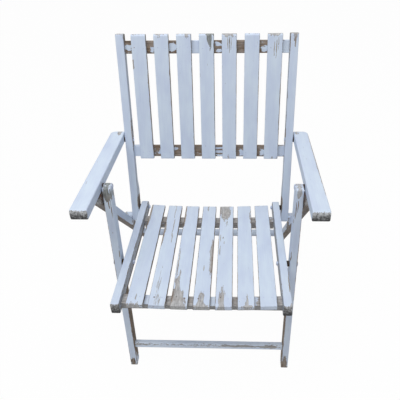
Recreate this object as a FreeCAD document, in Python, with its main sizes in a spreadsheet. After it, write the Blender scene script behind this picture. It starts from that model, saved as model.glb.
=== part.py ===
import FreeCAD, Part

import os
import re

import Sketcher

# Folding garden armchair of painted wood, in millimetres.
# X runs to the right as seen from the front, Y to the rear and Z up.
# The origin is on the floor, in the middle of the chair's width and depth.
# Heights and setbacks in the sheet are counted from the front edge of the front feet.

SIZES = {
    "frame_half_width": (250, "middle of the chair to the outer face of front legs and stiles"),
    "leg_thickness": (21, "front leg, across the chair"),
    "stile_thickness": (23, "stile, across the chair"),
    "seat_gap": (9, "inner face of a front leg to the seat side rail"),
    "seat_rail_thickness": (21, "seat side rail, across the chair"),
    "layer_gap": (3, "front leg to armrest and rear leg"),
    "seat_pivot_height": (405, "seat pivot above the floor"),
    "seat_pivot_ahead": (7.1, "seat pivot in front of the front leg's middle, level"),
    "arm_pivot_height": (629, "front arm pivot above the floor"),
    "arm_pivot_behind": (6.8, "front arm pivot behind the front leg's middle, level"),
    "link_run": (261, "front pivot to rear pivot, level, alike in seat and arm"),
    "link_drop": (21, "front pivot to rear pivot, downwards, alike in seat and arm"),
    "leg_lean": (8.9, "front leg out of the vertical, degrees"),
    "leg_depth": (29, "front leg, front to back, square to its length"),
    "leg_above": (6.5, "front arm pivot to the top of the front leg"),
    "leg_top_round": (4, "rounding of the front leg's top corners"),
    "edge_round": (2, "eased edges of the sawn members"),
    "slat_edge_round": (1.5, "eased edges of the slats"),
    "stretcher_height": (78.5, "middle of the front stretcher above the floor"),
    "stretcher_width": (22, "front stretcher along the leg"),
    "stretcher_depth": (16, "front stretcher, front to back"),
    "stretcher_round": (5, "rounded edges of the front stretcher"),
    "tenon_length": (13, "tenon in its mortise"),
    "tenon_shoulder": (3, "step from a rail's face to its tenon's face"),
    "seat_slope": (4.37, "seat lower at the rear, degrees"),
    "seat_rail_above": (18.6, "seat pivot to the top of the side rail"),
    "seat_rail_below": (17.4, "seat pivot to the bottom of the side rail"),
    "seat_front_reach": (172, "seat pivot to the front end of the side rail"),
    "seat_rear_reach": (14, "back pivot to the rear end of the side rail"),
    "seat_front_round": (11, "rounding of the side rail's lower front corner"),
    "seat_nose_round": (5, "rounding of the side rail's upper front corner"),
    "seat_rear_round": (15, "rounding of the side rail's rear corners"),
    "seat_front_rail_setback": (22, "front end of the side rail to the front cross rail"),
    "seat_front_rail_depth": (31, "front cross rail, front to back"),
    "seat_front_rail_height": (12, "front cross rail in the middle of its hollow"),
    "seat_rear_rail_setback": (184, "seat pivot to the front face of the rear cross rail"),
    "seat_rear_rail_depth": (26, "rear cross rail, front to back"),
    "seat_rear_rail_height": (20, "rear cross rail in the middle of its hollow"),
    "seat_dish": (7, "hollow of the seat at the middle of the cross rails"),
    "seat_drop": (5, "top of the side rail to the top of the slats beside it"),
    "seat_slat_width": (42, "seat slat, across"),
    "seat_slat_thickness": (12, "seat slat"),
    "seat_slat_margin": (13.6, "side rail to the seat slat beside it"),
    "seat_slat_setback": (9, "front end of the side rail to the front ends of the slats"),
    "seat_slat_rear": (254, "seat pivot to the rear ends of the slats"),
    "recline": (15.36, "back out of the vertical, degrees"),
    "stile_setback": (7.75, "front face of the stile to the rear arm pivot"),
    "stile_depth": (21, "stile, front to back, above the seat"),
    "stile_above": (297, "rear arm pivot to the top of the stile"),
    "stile_foot": (43, "back pivot to the lower end of the stile"),
    "flare_behind": (12, "back pivot to the rear face of the stile's wide foot"),
    "flare_start": (90, "back pivot up to where the stile begins to widen"),
    "flare_full": (54, "back pivot up to where the stile is at its widest"),
    "stile_foot_round": (9, "rounding of the stile's lower corners"),
    "stile_top_round": (4, "rounding of the stile's upper corners"),
    "back_top_rail_rise": (261.5, "rear arm pivot up to the middle of the top rail"),
    "back_bottom_rail_drop": (37.5, "rear arm pivot down to the middle of the bottom rail"),
    "back_rail_width": (34, "back rail along the back"),
    "back_rail_thickness": (12, "back rail, front to back"),
    "back_slat_width": (41, "back slat, across"),
    "back_slat_thickness": (10, "back slat"),
    "back_slat_margin": (19.6, "stile to the back slat beside it"),
    "back_slat_above": (296, "rear arm pivot to the tops of the slats"),
    "back_slat_below": (59, "rear arm pivot to the bottoms of the slats"),
    "slat_top_round": (6, "rounding of the back slats' upper front edges"),
    "slat_foot_round": (3, "rounding of the back slats' lower front edges"),
    "arm_slope": (5, "armrest lower at the rear, degrees"),
    "arm_width": (41, "armrest, across the chair"),
    "arm_thickness": (27, "armrest"),
    "arm_pivot_rise": (6.7, "underside of the armrest to the front arm pivot"),
    "arm_front_reach": (135, "front arm pivot to the front end of the armrest"),
    "arm_rear_reach": (278, "front arm pivot to the rear end of the armrest"),
    "arm_corner_round": (15, "rounding of the armrest's outer rear corner"),
    "arm_nose_round": (9, "rounding of the armrest's upper front edge"),
    "arm_chin_round": (5, "rounding of the armrest's lower front edge"),
    "arm_edge_round": (3, "eased edges of the armrest"),
    "bracket_setback": (25.2, "front arm pivot forwards to the rear leg's hinge"),
    "hinge_drop": (16.9, "underside of the armrest to the rear leg's hinge"),
    "bracket_plate": (2, "thickness of the hinge bracket's steel"),
    "bracket_length": (36, "hinge bracket along the armrest"),
    "bracket_ear": (17, "width of the hinge bracket's ears"),
    "bracket_play": (0.4, "rear leg to each ear of its bracket"),
    "hinge_round_rest": (1, "what the hinge's rounded ends leave of a full half round"),
    "hinge_pin_radius": (3, "rear leg's hinge pin"),
    "hinge_pin_head_radius": (5.5, "head of the rear leg's hinge pin"),
    "hinge_pin_head": (2, "thickness of the hinge pin's head"),
    "rear_leg_width": (24, "rear leg, square to its length in the side view"),
    "rear_leg_thickness": (22, "rear leg, across the chair"),
    "dowel_reach": (570, "rear leg's hinge down to the rear stretcher"),
    "dowel_radius": (12.3, "rear stretcher"),
    "dowel_tenon_radius": (8, "turned tenon of the rear stretcher"),
    "dowel_tenon": (15, "length of the rear stretcher's tenons"),
    "peg_below": (25.7, "back pivot down the stile to the stop peg"),
    "peg_ahead": (10.5, "back pivot forwards to the stop peg"),
    "peg_radius": (11, "stop peg"),
    "peg_tenon_radius": (5, "stop peg's tenon in the stile"),
    "peg_tenon": (18, "length of the stop peg's tenon"),
    "notch_depth": (2.6, "how far the stop peg sits in the rear leg's notch"),
    "notch_play": (0.3, "stop peg to the round of its notch"),
    "bolt_radius": (3, "pivot bolts"),
    "bolt_head_radius": (7, "domed heads of the pivot bolts"),
    "bolt_head": (2.5, "height of the domed heads"),
    "bolt_in_arm": (15, "pivot bolt in the armrest"),
    "bolt_end_play": (1, "end of an arm bolt to the bottom of its hole"),
    "bolt_tail": (1, "pivot bolt past its nut"),
    "nut_radius": (5.8, "pivot nuts, across the corners, half"),
    "nut_height": (4, "pivot nuts"),
    "washer_radius": (8, "pivot washers"),
    "side_play": (0.3, "washers and nuts to the member that turns beside them"),
    "running_play": (0.05, "bolts and pins to their holes, on the radius"),
    "open_play": (0.3, "rear arm bolts to their holes, on the radius"),
}

SLATS = 7
# The curve of a domed head from rim to crown: shares of its height and of its radius.
DOME = ((0.35, 1), (0.8, 0.65), (1, 0.3))
ALONG_X = FreeCAD.Vector(1, 0, 0)
ALONG_Y = FreeCAD.Vector(0, 1, 0)
ALONG_Z = FreeCAD.Vector(0, 0, 1)
# How near an edge has to be to a place or a direction that it is looked for at.
NEAR = 0.01
PARALLEL = 1e-6
NODES = []

doc = FreeCAD.newDocument("folding_garden_armchair")
sheet = doc.addObject("Spreadsheet::Sheet", "sizes")
for row, (alias, (value, note)) in enumerate(SIZES.items(), start=1):
    sheet.set(f"A{row}", alias)
    sheet.set(f"B{row}", str(value))
    sheet.setAlias(f"B{row}", alias)
    sheet.set(f"C{row}", note)
doc.recompute()

ALIAS_WORDS = re.compile(r"\b(" + "|".join(SIZES) + r")\b")

# Places that several pieces share, as formulas of the sheet's sizes.
# Each pair of front and rear pivots makes a parallelogram with the other pair.
LEG_LEVEL_DEPTH = "(leg_depth / cos(leg_lean))"
LEG_TOP = "(arm_pivot_height + leg_above)"
SEAT_PIVOT_Y = f"({LEG_LEVEL_DEPTH} / 2 + seat_pivot_height * tan(leg_lean) - seat_pivot_ahead)"
ARM_PIVOT_Y = f"({LEG_LEVEL_DEPTH} / 2 + arm_pivot_height * tan(leg_lean) + arm_pivot_behind)"
BACK_PIVOT_Y = f"({SEAT_PIVOT_Y} + link_run)"
BACK_PIVOT_Z = "(seat_pivot_height - link_drop)"
ARM_REAR_Y = f"({ARM_PIVOT_Y} + link_run)"
ARM_REAR_Z = "(arm_pivot_height - link_drop)"
# The rear leg's hinge, under the armrest and in front of the arm's pivot.
HINGE_FALL = "(arm_pivot_rise + hinge_drop)"
HINGE_Y = f"({ARM_PIVOT_Y} - bracket_setback * cos(arm_slope) - {HINGE_FALL} * sin(arm_slope))"
HINGE_Z = f"(arm_pivot_height + bracket_setback * sin(arm_slope) - {HINGE_FALL} * cos(arm_slope))"
# The stop peg on the stile's foot, which the rear leg's notch carries.
PEG_Y = f"({BACK_PIVOT_Y} - peg_below * sin(recline) - peg_ahead * cos(recline))"
PEG_Z = f"({BACK_PIVOT_Z} - peg_below * cos(recline) + peg_ahead * sin(recline))"
PEG_RUN = f"({PEG_Y} - {HINGE_Y})"
PEG_FALL = f"({HINGE_Z} - {PEG_Z})"
PEG_ABOVE = "(rear_leg_width / 2 + peg_radius - notch_depth)"
PEG_REACH = f"sqrt({PEG_RUN} ^ 2 + {PEG_FALL} ^ 2)"
REAR_LEG_SLANT = f"(atan2({PEG_FALL}; {PEG_RUN}) + asin({PEG_ABOVE} / {PEG_REACH}))"
# The chair's reach to the rear and to the front, and the middle between them.
REAR_REACH = (
    f"({HINGE_Y} + {HINGE_Z} / tan({REAR_LEG_SLANT})"
    f" + rear_leg_width / 2 / sin({REAR_LEG_SLANT}))"
)
FRONT_REACH = (
    f"(seat_front_reach * cos(seat_slope) - {SEAT_PIVOT_Y}"
    " + (seat_rail_below - seat_front_round) * sin(seat_slope))"
)
MIDDLE_Y = f"(({REAR_REACH} - {FRONT_REACH}) / 2)"
# Pivots in the frames of the members that they go through.
RAIL_BACK_PIVOT = (
    "(link_run * cos(seat_slope) + link_drop * sin(seat_slope))",
    "(link_run * sin(seat_slope) - link_drop * cos(seat_slope))",
)
ARM_REAR_PIVOT = (
    "(link_run * cos(arm_slope) + link_drop * sin(arm_slope))",
    "(link_run * sin(arm_slope) - link_drop * cos(arm_slope))",
)
PIVOT_RUN = f"({SEAT_PIVOT_Y} - {ARM_PIVOT_Y})"
PIVOT_RISE = "(seat_pivot_height - arm_pivot_height)"
STILE_BACK_PIVOT = (
    f"({PIVOT_RUN} * cos(recline) - {PIVOT_RISE} * sin(recline))",
    f"({PIVOT_RUN} * sin(recline) + {PIVOT_RISE} * cos(recline))",
)
# Planes across the chair, from the middle outwards.
LEG_INNER = "(frame_half_width - leg_thickness)"
STILE_INNER = "(frame_half_width - stile_thickness)"
RAIL_OUTER = f"({LEG_INNER} - seat_gap)"
RAIL_INNER = f"({RAIL_OUTER} - seat_rail_thickness)"
OUTER_LAYER = "(frame_half_width + layer_gap)"
SLAT_LEVEL = "(seat_rail_above - seat_drop - seat_slat_thickness)"
STILE_FRONT = "(0 - stile_setback)"
# Where the frames of the sub-assemblies stand: depth, height and slope.
ON_FLOOR = ("0", "0", "0")
SEAT_FRAME = (SEAT_PIVOT_Y, "seat_pivot_height", "seat_slope")
BACK_FRAME = (ARM_REAR_Y, ARM_REAR_Z, "recline")
ARM_FRAME = (ARM_PIVOT_Y, "arm_pivot_height", "arm_slope")
REAR_LEG_FRAME = (HINGE_Y, HINGE_Z, REAR_LEG_SLANT)


def bind(formula):
    """Turn a formula of size names into an expression that reads the sheet."""
    return ALIAS_WORDS.sub(r"sizes.\1", formula)


def evaluate(formula):
    """Give a formula's present value as a plain number."""
    return float(sheet.evalExpression(bind(formula)))


def place(item, across, frame):
    """Stand an object in a frame, at a distance across the chair."""
    depth, height, slope = frame
    turn = FreeCAD.Rotation(FreeCAD.Vector(-1, 0, 0), 1)
    item.Placement = FreeCAD.Placement(FreeCAD.Vector(), turn)
    item.setExpression("Placement.Base.x", bind(across))
    item.setExpression("Placement.Base.y", bind(f"{depth} - {MIDDLE_Y}"))
    item.setExpression("Placement.Base.z", bind(height))
    item.setExpression("Placement.Rotation.Angle", bind(slope))


def new_body(label, across, frame):
    """Start a body with its own label in a frame."""
    body = doc.addObject("PartDesign::Body", label)
    body.Label = label
    place(body, across, frame)
    return body


def keep(item, label):
    """Name an object that is written as a piece of its own."""
    item.Label = label
    NODES.append(item)
    return item


def outline(body, plane, points, offset="0"):
    """Draw a closed outline whose corners follow formulas."""
    sketch = body.newObject("Sketcher::SketchObject", f"{body.Name}_outline")
    base = next(item for item in body.Origin.OriginFeatures if item.Role == plane)
    sketch.AttachmentSupport = (base, [""])
    sketch.MapMode = "FlatFace"
    sketch.setExpression("AttachmentOffset.Base.z", bind(offset))
    corners = [FreeCAD.Vector(evaluate(across), evaluate(up), 0) for across, up in points]
    count = len(corners)
    for index, corner in enumerate(corners):
        sketch.addGeometry(Part.LineSegment(corner, corners[(index + 1) % count]))
    for index in range(count):
        sketch.addConstraint(Sketcher.Constraint("Coincident", index, 2, (index + 1) % count, 1))
    for index, corner_formulas in enumerate(points):
        for kind, formula in zip(("DistanceX", "DistanceY"), corner_formulas):
            rule = Sketcher.Constraint(kind, -1, 1, index, 1, evaluate(formula))
            number = sketch.addConstraint(rule)
            sketch.setExpression(f"Constraints[{number}]", bind(formula))
    return sketch


def pad(body, sketch, length):
    """Raise a solid from an outline."""
    feature = body.newObject("PartDesign::Pad", f"{body.Name}_pad")
    feature.Profile = sketch
    feature.setExpression("Length", bind(length))
    doc.recompute()
    return feature


def turned(body, stations):
    """Turn a solid about the body's X axis from distances along it and radii."""
    sketch = outline(body, "XY_Plane", stations)
    feature = body.newObject("PartDesign::Revolution", f"{body.Name}_turned")
    feature.Profile = sketch
    feature.ReferenceAxis = (sketch, ["H_Axis"])
    feature.Angle = 360
    doc.recompute()
    return feature


def block(body, kind, low, size, frame_turn=None):
    """Add or take away a box, given by its low corner and its sizes."""
    feature = body.newObject(f"PartDesign::{kind}Box", f"{body.Name}_{kind}")
    for name, formula in zip(("Length", "Width", "Height"), size):
        feature.setExpression(name, bind(formula))
    if frame_turn:
        turn = FreeCAD.Rotation(FreeCAD.Vector(-1, 0, 0), 1)
        feature.Placement = FreeCAD.Placement(FreeCAD.Vector(), turn)
        feature.setExpression("Placement.Rotation.Angle", bind(frame_turn))
    for axis, formula in zip("xyz", low):
        feature.setExpression(f"Placement.Base.{axis}", bind(formula))
    doc.recompute()
    return feature


def bore(body, start, depth, length, radius, height):
    """Drill a round hole along X from a place across the body."""
    feature = body.newObject("PartDesign::SubtractiveCylinder", f"{body.Name}_bore")
    along_x = FreeCAD.Rotation(FreeCAD.Vector(0, 1, 0), 90)
    feature.Placement = FreeCAD.Placement(FreeCAD.Vector(), along_x)
    feature.setExpression("Radius", bind(radius))
    feature.setExpression("Height", bind(length))
    for axis, formula in zip("xyz", (start, depth, height)):
        feature.setExpression(f"Placement.Base.{axis}", bind(formula))
    before = body.Shape.Volume
    doc.recompute()
    if body.Shape.Volume >= before:
        raise RuntimeError(f"{body.Label}: a hole takes nothing away")
    return feature


def fillet(body, radius, chosen):
    """Round the edges of a body that a test picks out."""
    base = body.Tip
    names = [f"Edge{number}" for number, edge in enumerate(base.Shape.Edges, start=1) if chosen(edge)]
    if not names:
        raise RuntimeError(f"{body.Label}: no edge to round")
    feature = body.newObject("PartDesign::Fillet", f"{body.Name}_round")
    feature.Base = (base, names)
    feature.setExpression("Radius", bind(radius))
    doc.recompute()
    return feature


def runs_along(edge, axis):
    """Tell whether an edge is straight and parallel to an axis of its body."""
    if edge.Curve.TypeId != "Part::GeomLine":
        return False
    direction = edge.Curve.Direction
    return abs(abs(direction.dot(axis)) - 1) < PARALLEL


def corners_near(places):
    """Pick the edges across the chair that pass through given places of the side view."""
    spots = [(evaluate(depth), evaluate(height)) for depth, height in places]

    def chosen(edge):
        if not runs_along(edge, ALONG_X):
            return False
        middle = edge.CenterOfMass
        return any(abs(middle.y - y) < NEAR and abs(middle.z - z) < NEAR for y, z in spots)

    return chosen


def mirrored(item, label):
    """Make the left-hand piece from the right-hand one."""
    twin = doc.addObject("Part::Mirroring", label)
    twin.Source = item
    twin.Base = FreeCAD.Vector(0, 0, 0)
    twin.Normal = ALONG_X
    return keep(twin, label)


def pair_of(body, label):
    """Join a right-hand fastener and its left-hand twin in one group."""
    twin = doc.addObject("Part::Mirroring", f"{label}_twin")
    twin.Source = body
    twin.Base = FreeCAD.Vector(0, 0, 0)
    twin.Normal = ALONG_X
    group = doc.addObject("Part::Compound", f"{label}_group")
    group.Links = [body, twin]
    return keep(group, label)


def make_front_legs():
    """Front legs: leaning members with level feet and rounded tops."""
    top_shift = f"({LEG_TOP} * tan(leg_lean))"
    points = [
        ("0", "0"),
        (LEG_LEVEL_DEPTH, "0"),
        (f"{LEG_LEVEL_DEPTH} + {top_shift}", LEG_TOP),
        (top_shift, LEG_TOP),
    ]
    body = new_body("front_leg_right", LEG_INNER, ON_FLOOR)
    pad(body, outline(body, "YZ_Plane", points), "leg_thickness")
    fillet(body, "leg_top_round", corners_near(points[2:]))
    lean = evaluate("leg_lean")
    length_axis = FreeCAD.Rotation(ALONG_X, -lean).multVec(ALONG_Z)
    fillet(body, "edge_round", lambda edge: runs_along(edge, length_axis))
    for depth, height in ((SEAT_PIVOT_Y, "seat_pivot_height"), (ARM_PIVOT_Y, "arm_pivot_height")):
        bore(body, "0", depth, "leg_thickness", "bolt_radius + running_play", height)
    tenon_depth = "(stretcher_depth - 2 * tenon_shoulder)"
    tenon_width = "(stretcher_width - 2 * tenon_shoulder)"
    half_along = f"({tenon_width} / 2)"
    half_across = f"({tenon_depth} / 2)"
    middle_y = f"({LEG_LEVEL_DEPTH} / 2 + stretcher_height * tan(leg_lean))"
    low = (
        "0",
        f"{middle_y} - {half_across} * cos(leg_lean) - {half_along} * sin(leg_lean)",
        f"stretcher_height + {half_across} * sin(leg_lean) - {half_along} * cos(leg_lean)",
    )
    block(body, "Subtractive", low, ("tenon_length", tenon_depth, tenon_width), "leg_lean")
    keep(body, "front_leg_right")
    mirrored(body, "front_leg_left")
    stretcher_frame = (middle_y, "stretcher_height", "leg_lean")
    rail = new_body("front_stretcher", "0", stretcher_frame)
    add_tenoned_rail(
        rail, LEG_INNER, ("0", "0"), "stretcher_depth", "stretcher_width", "stretcher_round"
    )
    keep(rail, "front_stretcher")


def add_tenoned_rail(body, half_length, middle, depth, height, edge="edge_round"):
    """A straight rail with a tenon at each end, about its middle in the side view."""
    middle_y, middle_z = middle
    block(
        body,
        "Additive",
        (f"0 - {half_length}", f"{middle_y} - {depth} / 2", f"{middle_z} - {height} / 2"),
        (f"2 * {half_length}", depth, height),
    )
    fillet(body, edge, lambda candidate: runs_along(candidate, ALONG_X))
    add_tenon(body, half_length, middle, depth, height)


def add_tenon(body, half_length, middle, depth, height):
    """The tenons at both ends of a rail, stepped in from its faces."""
    middle_y, middle_z = middle
    tenon_depth = f"({depth} - 2 * tenon_shoulder)"
    tenon_height = f"({height} - 2 * tenon_shoulder)"
    reach = f"({half_length} + tenon_length)"
    low = (f"0 - {reach}", f"{middle_y} - {tenon_depth} / 2", f"{middle_z} - {tenon_height} / 2")
    block(body, "Additive", low, (f"2 * {reach}", tenon_depth, tenon_height))


def cut_mortise(body, middle, depth, height):
    """The mortise in a side member's inner face for a rail's tenon."""
    middle_y, middle_z = middle
    tenon_depth = f"({depth} - 2 * tenon_shoulder)"
    tenon_height = f"({height} - 2 * tenon_shoulder)"
    low = ("0", f"{middle_y} - {tenon_depth} / 2", f"{middle_z} - {tenon_height} / 2")
    block(body, "Subtractive", low, ("tenon_length", tenon_depth, tenon_height))


def make_rear_legs():
    """Rear legs: slanting struts with a rounded upper end, a level foot and a notch for the peg."""
    half = "(rear_leg_width / 2)"
    rise = f"({half} / tan({REAR_LEG_SLANT}))"
    floor_reach = f"({HINGE_Z} / sin({REAR_LEG_SLANT}))"
    points = [
        (f"0 - {half}", f"0 - {half}"),
        (f"{floor_reach} - {rise}", f"0 - {half}"),
        (f"{floor_reach} + {rise}", half),
        (f"0 - {half}", half),
    ]
    body = new_body("rear_leg_right", OUTER_LAYER, REAR_LEG_FRAME)
    pad(body, outline(body, "YZ_Plane", points), "rear_leg_thickness")
    fillet(body, f"{half} - hinge_round_rest", corners_near([points[0], points[3]]))
    fillet(body, "edge_round", lambda edge: runs_along(edge, ALONG_Y))
    bore(body, "0", "0", "rear_leg_thickness", "hinge_pin_radius + running_play", "0")
    peg_along = f"sqrt({PEG_REACH} ^ 2 - {PEG_ABOVE} ^ 2)"
    bore(body, "0", peg_along, "rear_leg_thickness", "peg_radius + notch_play", PEG_ABOVE)
    bore(body, "0", "dowel_reach", "dowel_tenon", "dowel_tenon_radius + running_play", "0")
    keep(body, "rear_leg_right")
    mirrored(body, "rear_leg_left")


def make_rear_stretcher():
    """Rear stretcher: a turned bar with a tenon in each rear leg."""
    dowel_y = f"({HINGE_Y} + dowel_reach * cos({REAR_LEG_SLANT}))"
    dowel_z = f"({HINGE_Z} - dowel_reach * sin({REAR_LEG_SLANT}))"
    body = new_body("rear_stretcher", "0", (dowel_y, dowel_z, "0"))
    tip = f"({OUTER_LAYER} + dowel_tenon)"
    turned(body, [
        (f"0 - {tip}", "0"),
        (f"0 - {tip}", "dowel_tenon_radius"),
        (f"0 - {OUTER_LAYER}", "dowel_tenon_radius"),
        (f"0 - {OUTER_LAYER}", "dowel_radius"),
        (OUTER_LAYER, "dowel_radius"),
        (OUTER_LAYER, "dowel_tenon_radius"),
        (tip, "dowel_tenon_radius"),
        (tip, "0"),
    ])
    keep(body, "rear_stretcher")


def seat_cross_rails():
    """Give the seat's cross rails: label, middle of the depth, depth and height."""
    front = "(0 - seat_front_reach + seat_front_rail_setback + seat_front_rail_depth / 2)"
    rear = "(seat_rear_rail_setback + seat_rear_rail_depth / 2)"
    return [
        ("seat_front_rail", front, "seat_front_rail_depth", "seat_front_rail_height"),
        ("seat_rear_rail", rear, "seat_rear_rail_depth", "seat_rear_rail_height"),
    ]


def seat_tenon():
    """Give the middle and the height of the part of a cross rail that the tenon is stepped in from."""
    middle = f"(({SLAT_LEVEL} - seat_dish - seat_rail_below) / 2)"
    height = f"({SLAT_LEVEL} - seat_dish + seat_rail_below)"
    return middle, height


def make_seat_side_rails():
    """Seat side rails: straight members with rounded ends, pivoted at leg and stile."""
    rear_end = f"({RAIL_BACK_PIVOT[0]} + seat_rear_reach)"
    points = [
        ("0 - seat_front_reach", "0 - seat_rail_below"),
        (rear_end, "0 - seat_rail_below"),
        (rear_end, "seat_rail_above"),
        ("0 - seat_front_reach", "seat_rail_above"),
    ]
    body = new_body("seat_rail_right", RAIL_INNER, SEAT_FRAME)
    pad(body, outline(body, "YZ_Plane", points), "seat_rail_thickness")
    fillet(body, "seat_front_round", corners_near(points[:1]))
    fillet(body, "seat_nose_round", corners_near(points[3:]))
    fillet(body, "seat_rear_round", corners_near(points[1:3]))
    fillet(body, "edge_round", lambda edge: runs_along(edge, ALONG_Y))
    for depth, height in (("0", "0"), RAIL_BACK_PIVOT):
        bore(body, "0", depth, "seat_rail_thickness", "bolt_radius + running_play", height)
    tenon_middle, tenon_height = seat_tenon()
    for _, middle, depth, _ in seat_cross_rails():
        cut_mortise(body, (middle, tenon_middle), depth, tenon_height)
    keep(body, "seat_rail_right")
    mirrored(body, "seat_rail_left")


def slat_place(number, half_space, margin, width):
    """Give a slat's place across the chair, evenly spread between two side members."""
    steps = (SLATS - 1) // 2
    return f"({number - steps} * ({half_space} - {margin} - {width} / 2) / {steps})"


def seat_slat_place(number):
    """Give a seat slat's place across the seat."""
    return slat_place(number, RAIL_INNER, "seat_slat_margin", "seat_slat_width")


def dish_depth(here, there):
    """How far the flats for two slats meet below the seat's level, or one flat's middle does."""
    return f"(seat_dish * (1 - {here} * {there} / {RAIL_INNER} ^ 2))"


def make_seat_cross_rails():
    """Seat cross rails: hollowed on top, with a flat for each slat."""
    left_end = f"(0 - {RAIL_INNER})"
    places = [seat_slat_place(number) for number in range(SLATS)]
    tops = [(left_end, f"{SLAT_LEVEL} - {dish_depth(places[0], left_end)}")]
    for here, there in zip(places, places[1:]):
        tops.append((f"({here} + {there}) / 2", f"{SLAT_LEVEL} - {dish_depth(here, there)}"))
    tops.append((RAIL_INNER, f"{SLAT_LEVEL} - {dish_depth(places[-1], RAIL_INNER)}"))
    tenon_middle, tenon_height = seat_tenon()
    for label, middle, depth, height in seat_cross_rails():
        body = new_body(label, "0", SEAT_FRAME)
        rear_face = f"0 - ({middle} + {depth} / 2)"
        bottom = f"({SLAT_LEVEL} - seat_dish - {height})"
        points = tops + [(RAIL_INNER, bottom), (left_end, bottom)]
        pad(body, outline(body, "XZ_Plane", points, rear_face), depth)
        add_tenon(body, RAIL_INNER, (middle, tenon_middle), depth, tenon_height)
        keep(body, label)


def make_seat_slats():
    """Seat slats: flat boards that lie on the cross rails' flats, front to rear."""
    front_end = "(seat_front_reach - seat_slat_setback)"
    for number in range(SLATS):
        here = seat_slat_place(number)
        lean = f"(2 * seat_dish * {here} / {RAIL_INNER} ^ 2)"
        stretch = f"sqrt(1 + {lean} ^ 2)"
        level = f"({SLAT_LEVEL} - {dish_depth(here, here)})"
        points = []
        for side, lift in ((-1, 0), (1, 0), (1, 1), (-1, 1)):
            across = f"({side} * seat_slat_width / 2)"
            up = f"({lift} * seat_slat_thickness)"
            points.append((
                f"{here} + ({across} - {up} * {lean}) / {stretch}",
                f"{level} + ({across} * {lean} + {up}) / {stretch}",
            ))
        label = f"seat_slat_{number + 1}"
        body = new_body(label, "0", SEAT_FRAME)
        pad(body, outline(body, "XZ_Plane", points, "0 - seat_slat_rear"), f"seat_slat_rear + {front_end}")
        fillet(body, "slat_edge_round", lambda edge: runs_along(edge, ALONG_Y))
        keep(body, label)


def back_rails():
    """Give the back's cross rails: label and middle in the side view."""
    depth = f"({STILE_FRONT} + back_slat_thickness + back_rail_thickness / 2)"
    return [
        ("back_top_rail", (depth, "back_top_rail_rise")),
        ("back_bottom_rail", (depth, "(0 - back_bottom_rail_drop)")),
    ]


def make_stiles():
    """Stiles: straight members that widen to a foot round the back pivot."""
    pivot_depth, pivot_height = STILE_BACK_PIVOT
    rear = f"({STILE_FRONT} + stile_depth)"
    flare = f"({pivot_depth} + flare_behind)"
    foot = f"({pivot_height} - stile_foot)"
    points = [
        (STILE_FRONT, foot),
        (flare, foot),
        (flare, f"{pivot_height} + flare_full"),
        (rear, f"{pivot_height} + flare_start"),
        (rear, "stile_above"),
        (STILE_FRONT, "stile_above"),
    ]
    body = new_body("stile_right", STILE_INNER, BACK_FRAME)
    pad(body, outline(body, "YZ_Plane", points), "stile_thickness")
    fillet(body, "stile_foot_round", corners_near(points[:2]))
    fillet(body, "stile_top_round", corners_near(points[4:]))
    fillet(body, "edge_round", lambda edge: runs_along(edge, ALONG_Z))
    for depth, height in (("0", "0"), STILE_BACK_PIVOT):
        bore(body, "0", depth, "stile_thickness", "bolt_radius + running_play", height)
    bore(
        body,
        "stile_thickness - peg_tenon",
        f"{pivot_depth} - peg_ahead",
        "peg_tenon",
        "peg_tenon_radius + running_play",
        f"{pivot_height} - peg_below",
    )
    for _, middle in back_rails():
        cut_mortise(body, middle, "back_rail_thickness", "back_rail_width")
    keep(body, "stile_right")
    mirrored(body, "stile_left")


def make_back_rails():
    """Back rails: straight rails behind the slats, tenoned into the stiles."""
    for label, middle in back_rails():
        body = new_body(label, "0", BACK_FRAME)
        add_tenoned_rail(body, STILE_INNER, middle, "back_rail_thickness", "back_rail_width")
        keep(body, label)


def make_back_slats():
    """Back slats: upright boards on the front of the back rails."""
    for number in range(SLATS):
        label = f"back_slat_{number + 1}"
        body = new_body(label, "0", BACK_FRAME)
        middle = slat_place(number, STILE_INNER, "back_slat_margin", "back_slat_width")
        low = (f"{middle} - back_slat_width / 2", STILE_FRONT, "0 - back_slat_below")
        height = "back_slat_below + back_slat_above"
        block(body, "Additive", low, ("back_slat_width", "back_slat_thickness", height))
        fillet(body, "slat_top_round", corners_near([(STILE_FRONT, "back_slat_above")]))
        fillet(body, "slat_foot_round", corners_near([(STILE_FRONT, "0 - back_slat_below")]))
        fillet(body, "slat_edge_round", lambda edge: runs_along(edge, ALONG_Z))
        keep(body, label)


def make_armrests():
    """Armrests: thick boards with a rounded nose and outer rear corner, and blind holes for the bolts."""
    points = [
        ("0", "0 - arm_front_reach"),
        ("arm_width", "0 - arm_front_reach"),
        ("arm_width", "arm_rear_reach"),
        ("0", "arm_rear_reach"),
    ]
    body = new_body("armrest_right", OUTER_LAYER, ARM_FRAME)
    pad(body, outline(body, "XY_Plane", points, "0 - arm_pivot_rise"), "arm_thickness")
    outer, rear = evaluate("arm_width"), evaluate("arm_rear_reach")

    def is_rear_corner(edge):
        middle = edge.CenterOfMass
        return runs_along(edge, ALONG_Z) and abs(middle.x - outer) + abs(middle.y - rear) < NEAR

    def is_top_side(edge):
        return runs_along(edge, ALONG_Y) and edge.CenterOfMass.z > 0

    fillet(body, "arm_corner_round", is_rear_corner)
    front = "0 - arm_front_reach"
    fillet(body, "arm_nose_round", corners_near([(front, "arm_thickness - arm_pivot_rise")]))
    fillet(body, "arm_chin_round", corners_near([(front, "0 - arm_pivot_rise")]))
    fillet(body, "arm_edge_round", is_top_side)
    hole = "bolt_in_arm + bolt_end_play"
    bore(body, "0", "0", hole, "bolt_radius + running_play", "0")
    bore(body, "0", ARM_REAR_PIVOT[0], hole, "bolt_radius + open_play", ARM_REAR_PIVOT[1])
    keep(body, "armrest_right")
    mirrored(body, "armrest_left")


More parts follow.
